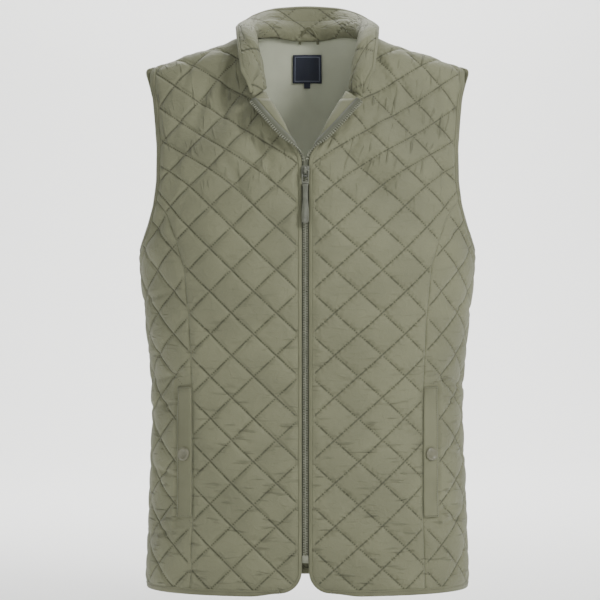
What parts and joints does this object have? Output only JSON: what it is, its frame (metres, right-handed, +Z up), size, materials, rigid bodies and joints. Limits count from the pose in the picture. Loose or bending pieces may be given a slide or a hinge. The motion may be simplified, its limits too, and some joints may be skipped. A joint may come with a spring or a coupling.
{
  "type": "quilted_vest",
  "caption": "Sleeveless quilted outer garment shown hollow as worn, with a stand collar, a front zip open at the neck, welt pockets with press snaps and bound edges.",
  "frame": {"origin": "Between the shoulders, in the middle of the width and depth, level with the neck ends of the shoulder seams.", "axes": "plus X to the viewer's right in the front view, which is the wearer's left; plus Y to the back, so the front faces minus Y; plus Z up, from the hem to the collar"},
  "size_m": [0.3912, 0.2316, 0.6827],
  "materials": {
    "shell": "matte",
    "lining": "matte",
    "trim": "matte",
    "zip_tape": "matte",
    "zip_teeth": "satin",
    "zip_metal": "satin",
    "snap": "satin",
    "label": "matte"
  },
  "bodies": {
    "garment": {"front_left": "shell", "front_right": "shell", "side_left": "shell", "side_right": "shell", "back": "shell", "collar": "shell", "hang_loop": "shell", "back_lining": "lining", "facing_left": "trim", "facing_right": "trim", "welt_left": "trim", "welt_right": "trim", "binding_front_left": "trim", "binding_front_right": "trim", "binding_hem": "trim", "binding_armhole_left": "trim", "binding_armhole_right": "trim", "binding_collar": "trim", "zip_tape_left": "zip_tape", "zip_tape_right": "zip_tape", "zip_teeth_left": "zip_teeth", "zip_teeth_right": "zip_teeth", "zip_chain": "zip_teeth", "zip_box": "zip_teeth", "zip_slider": "zip_metal", "snap_left": "snap", "snap_right": "snap", "label": "label", "size_tab": "label"},
    "pull_tab": {"pull_tab": "zip_metal"}
  },
  "joints": [
    {"name": "tab_swing", "type": "hinge", "parent": "garment", "child": "pull_tab", "pos_m": [-0.0027, -0.11292, -0.16694], "axis": [-1, 0, 0], "range_deg": [0, 150]}
  ]
}
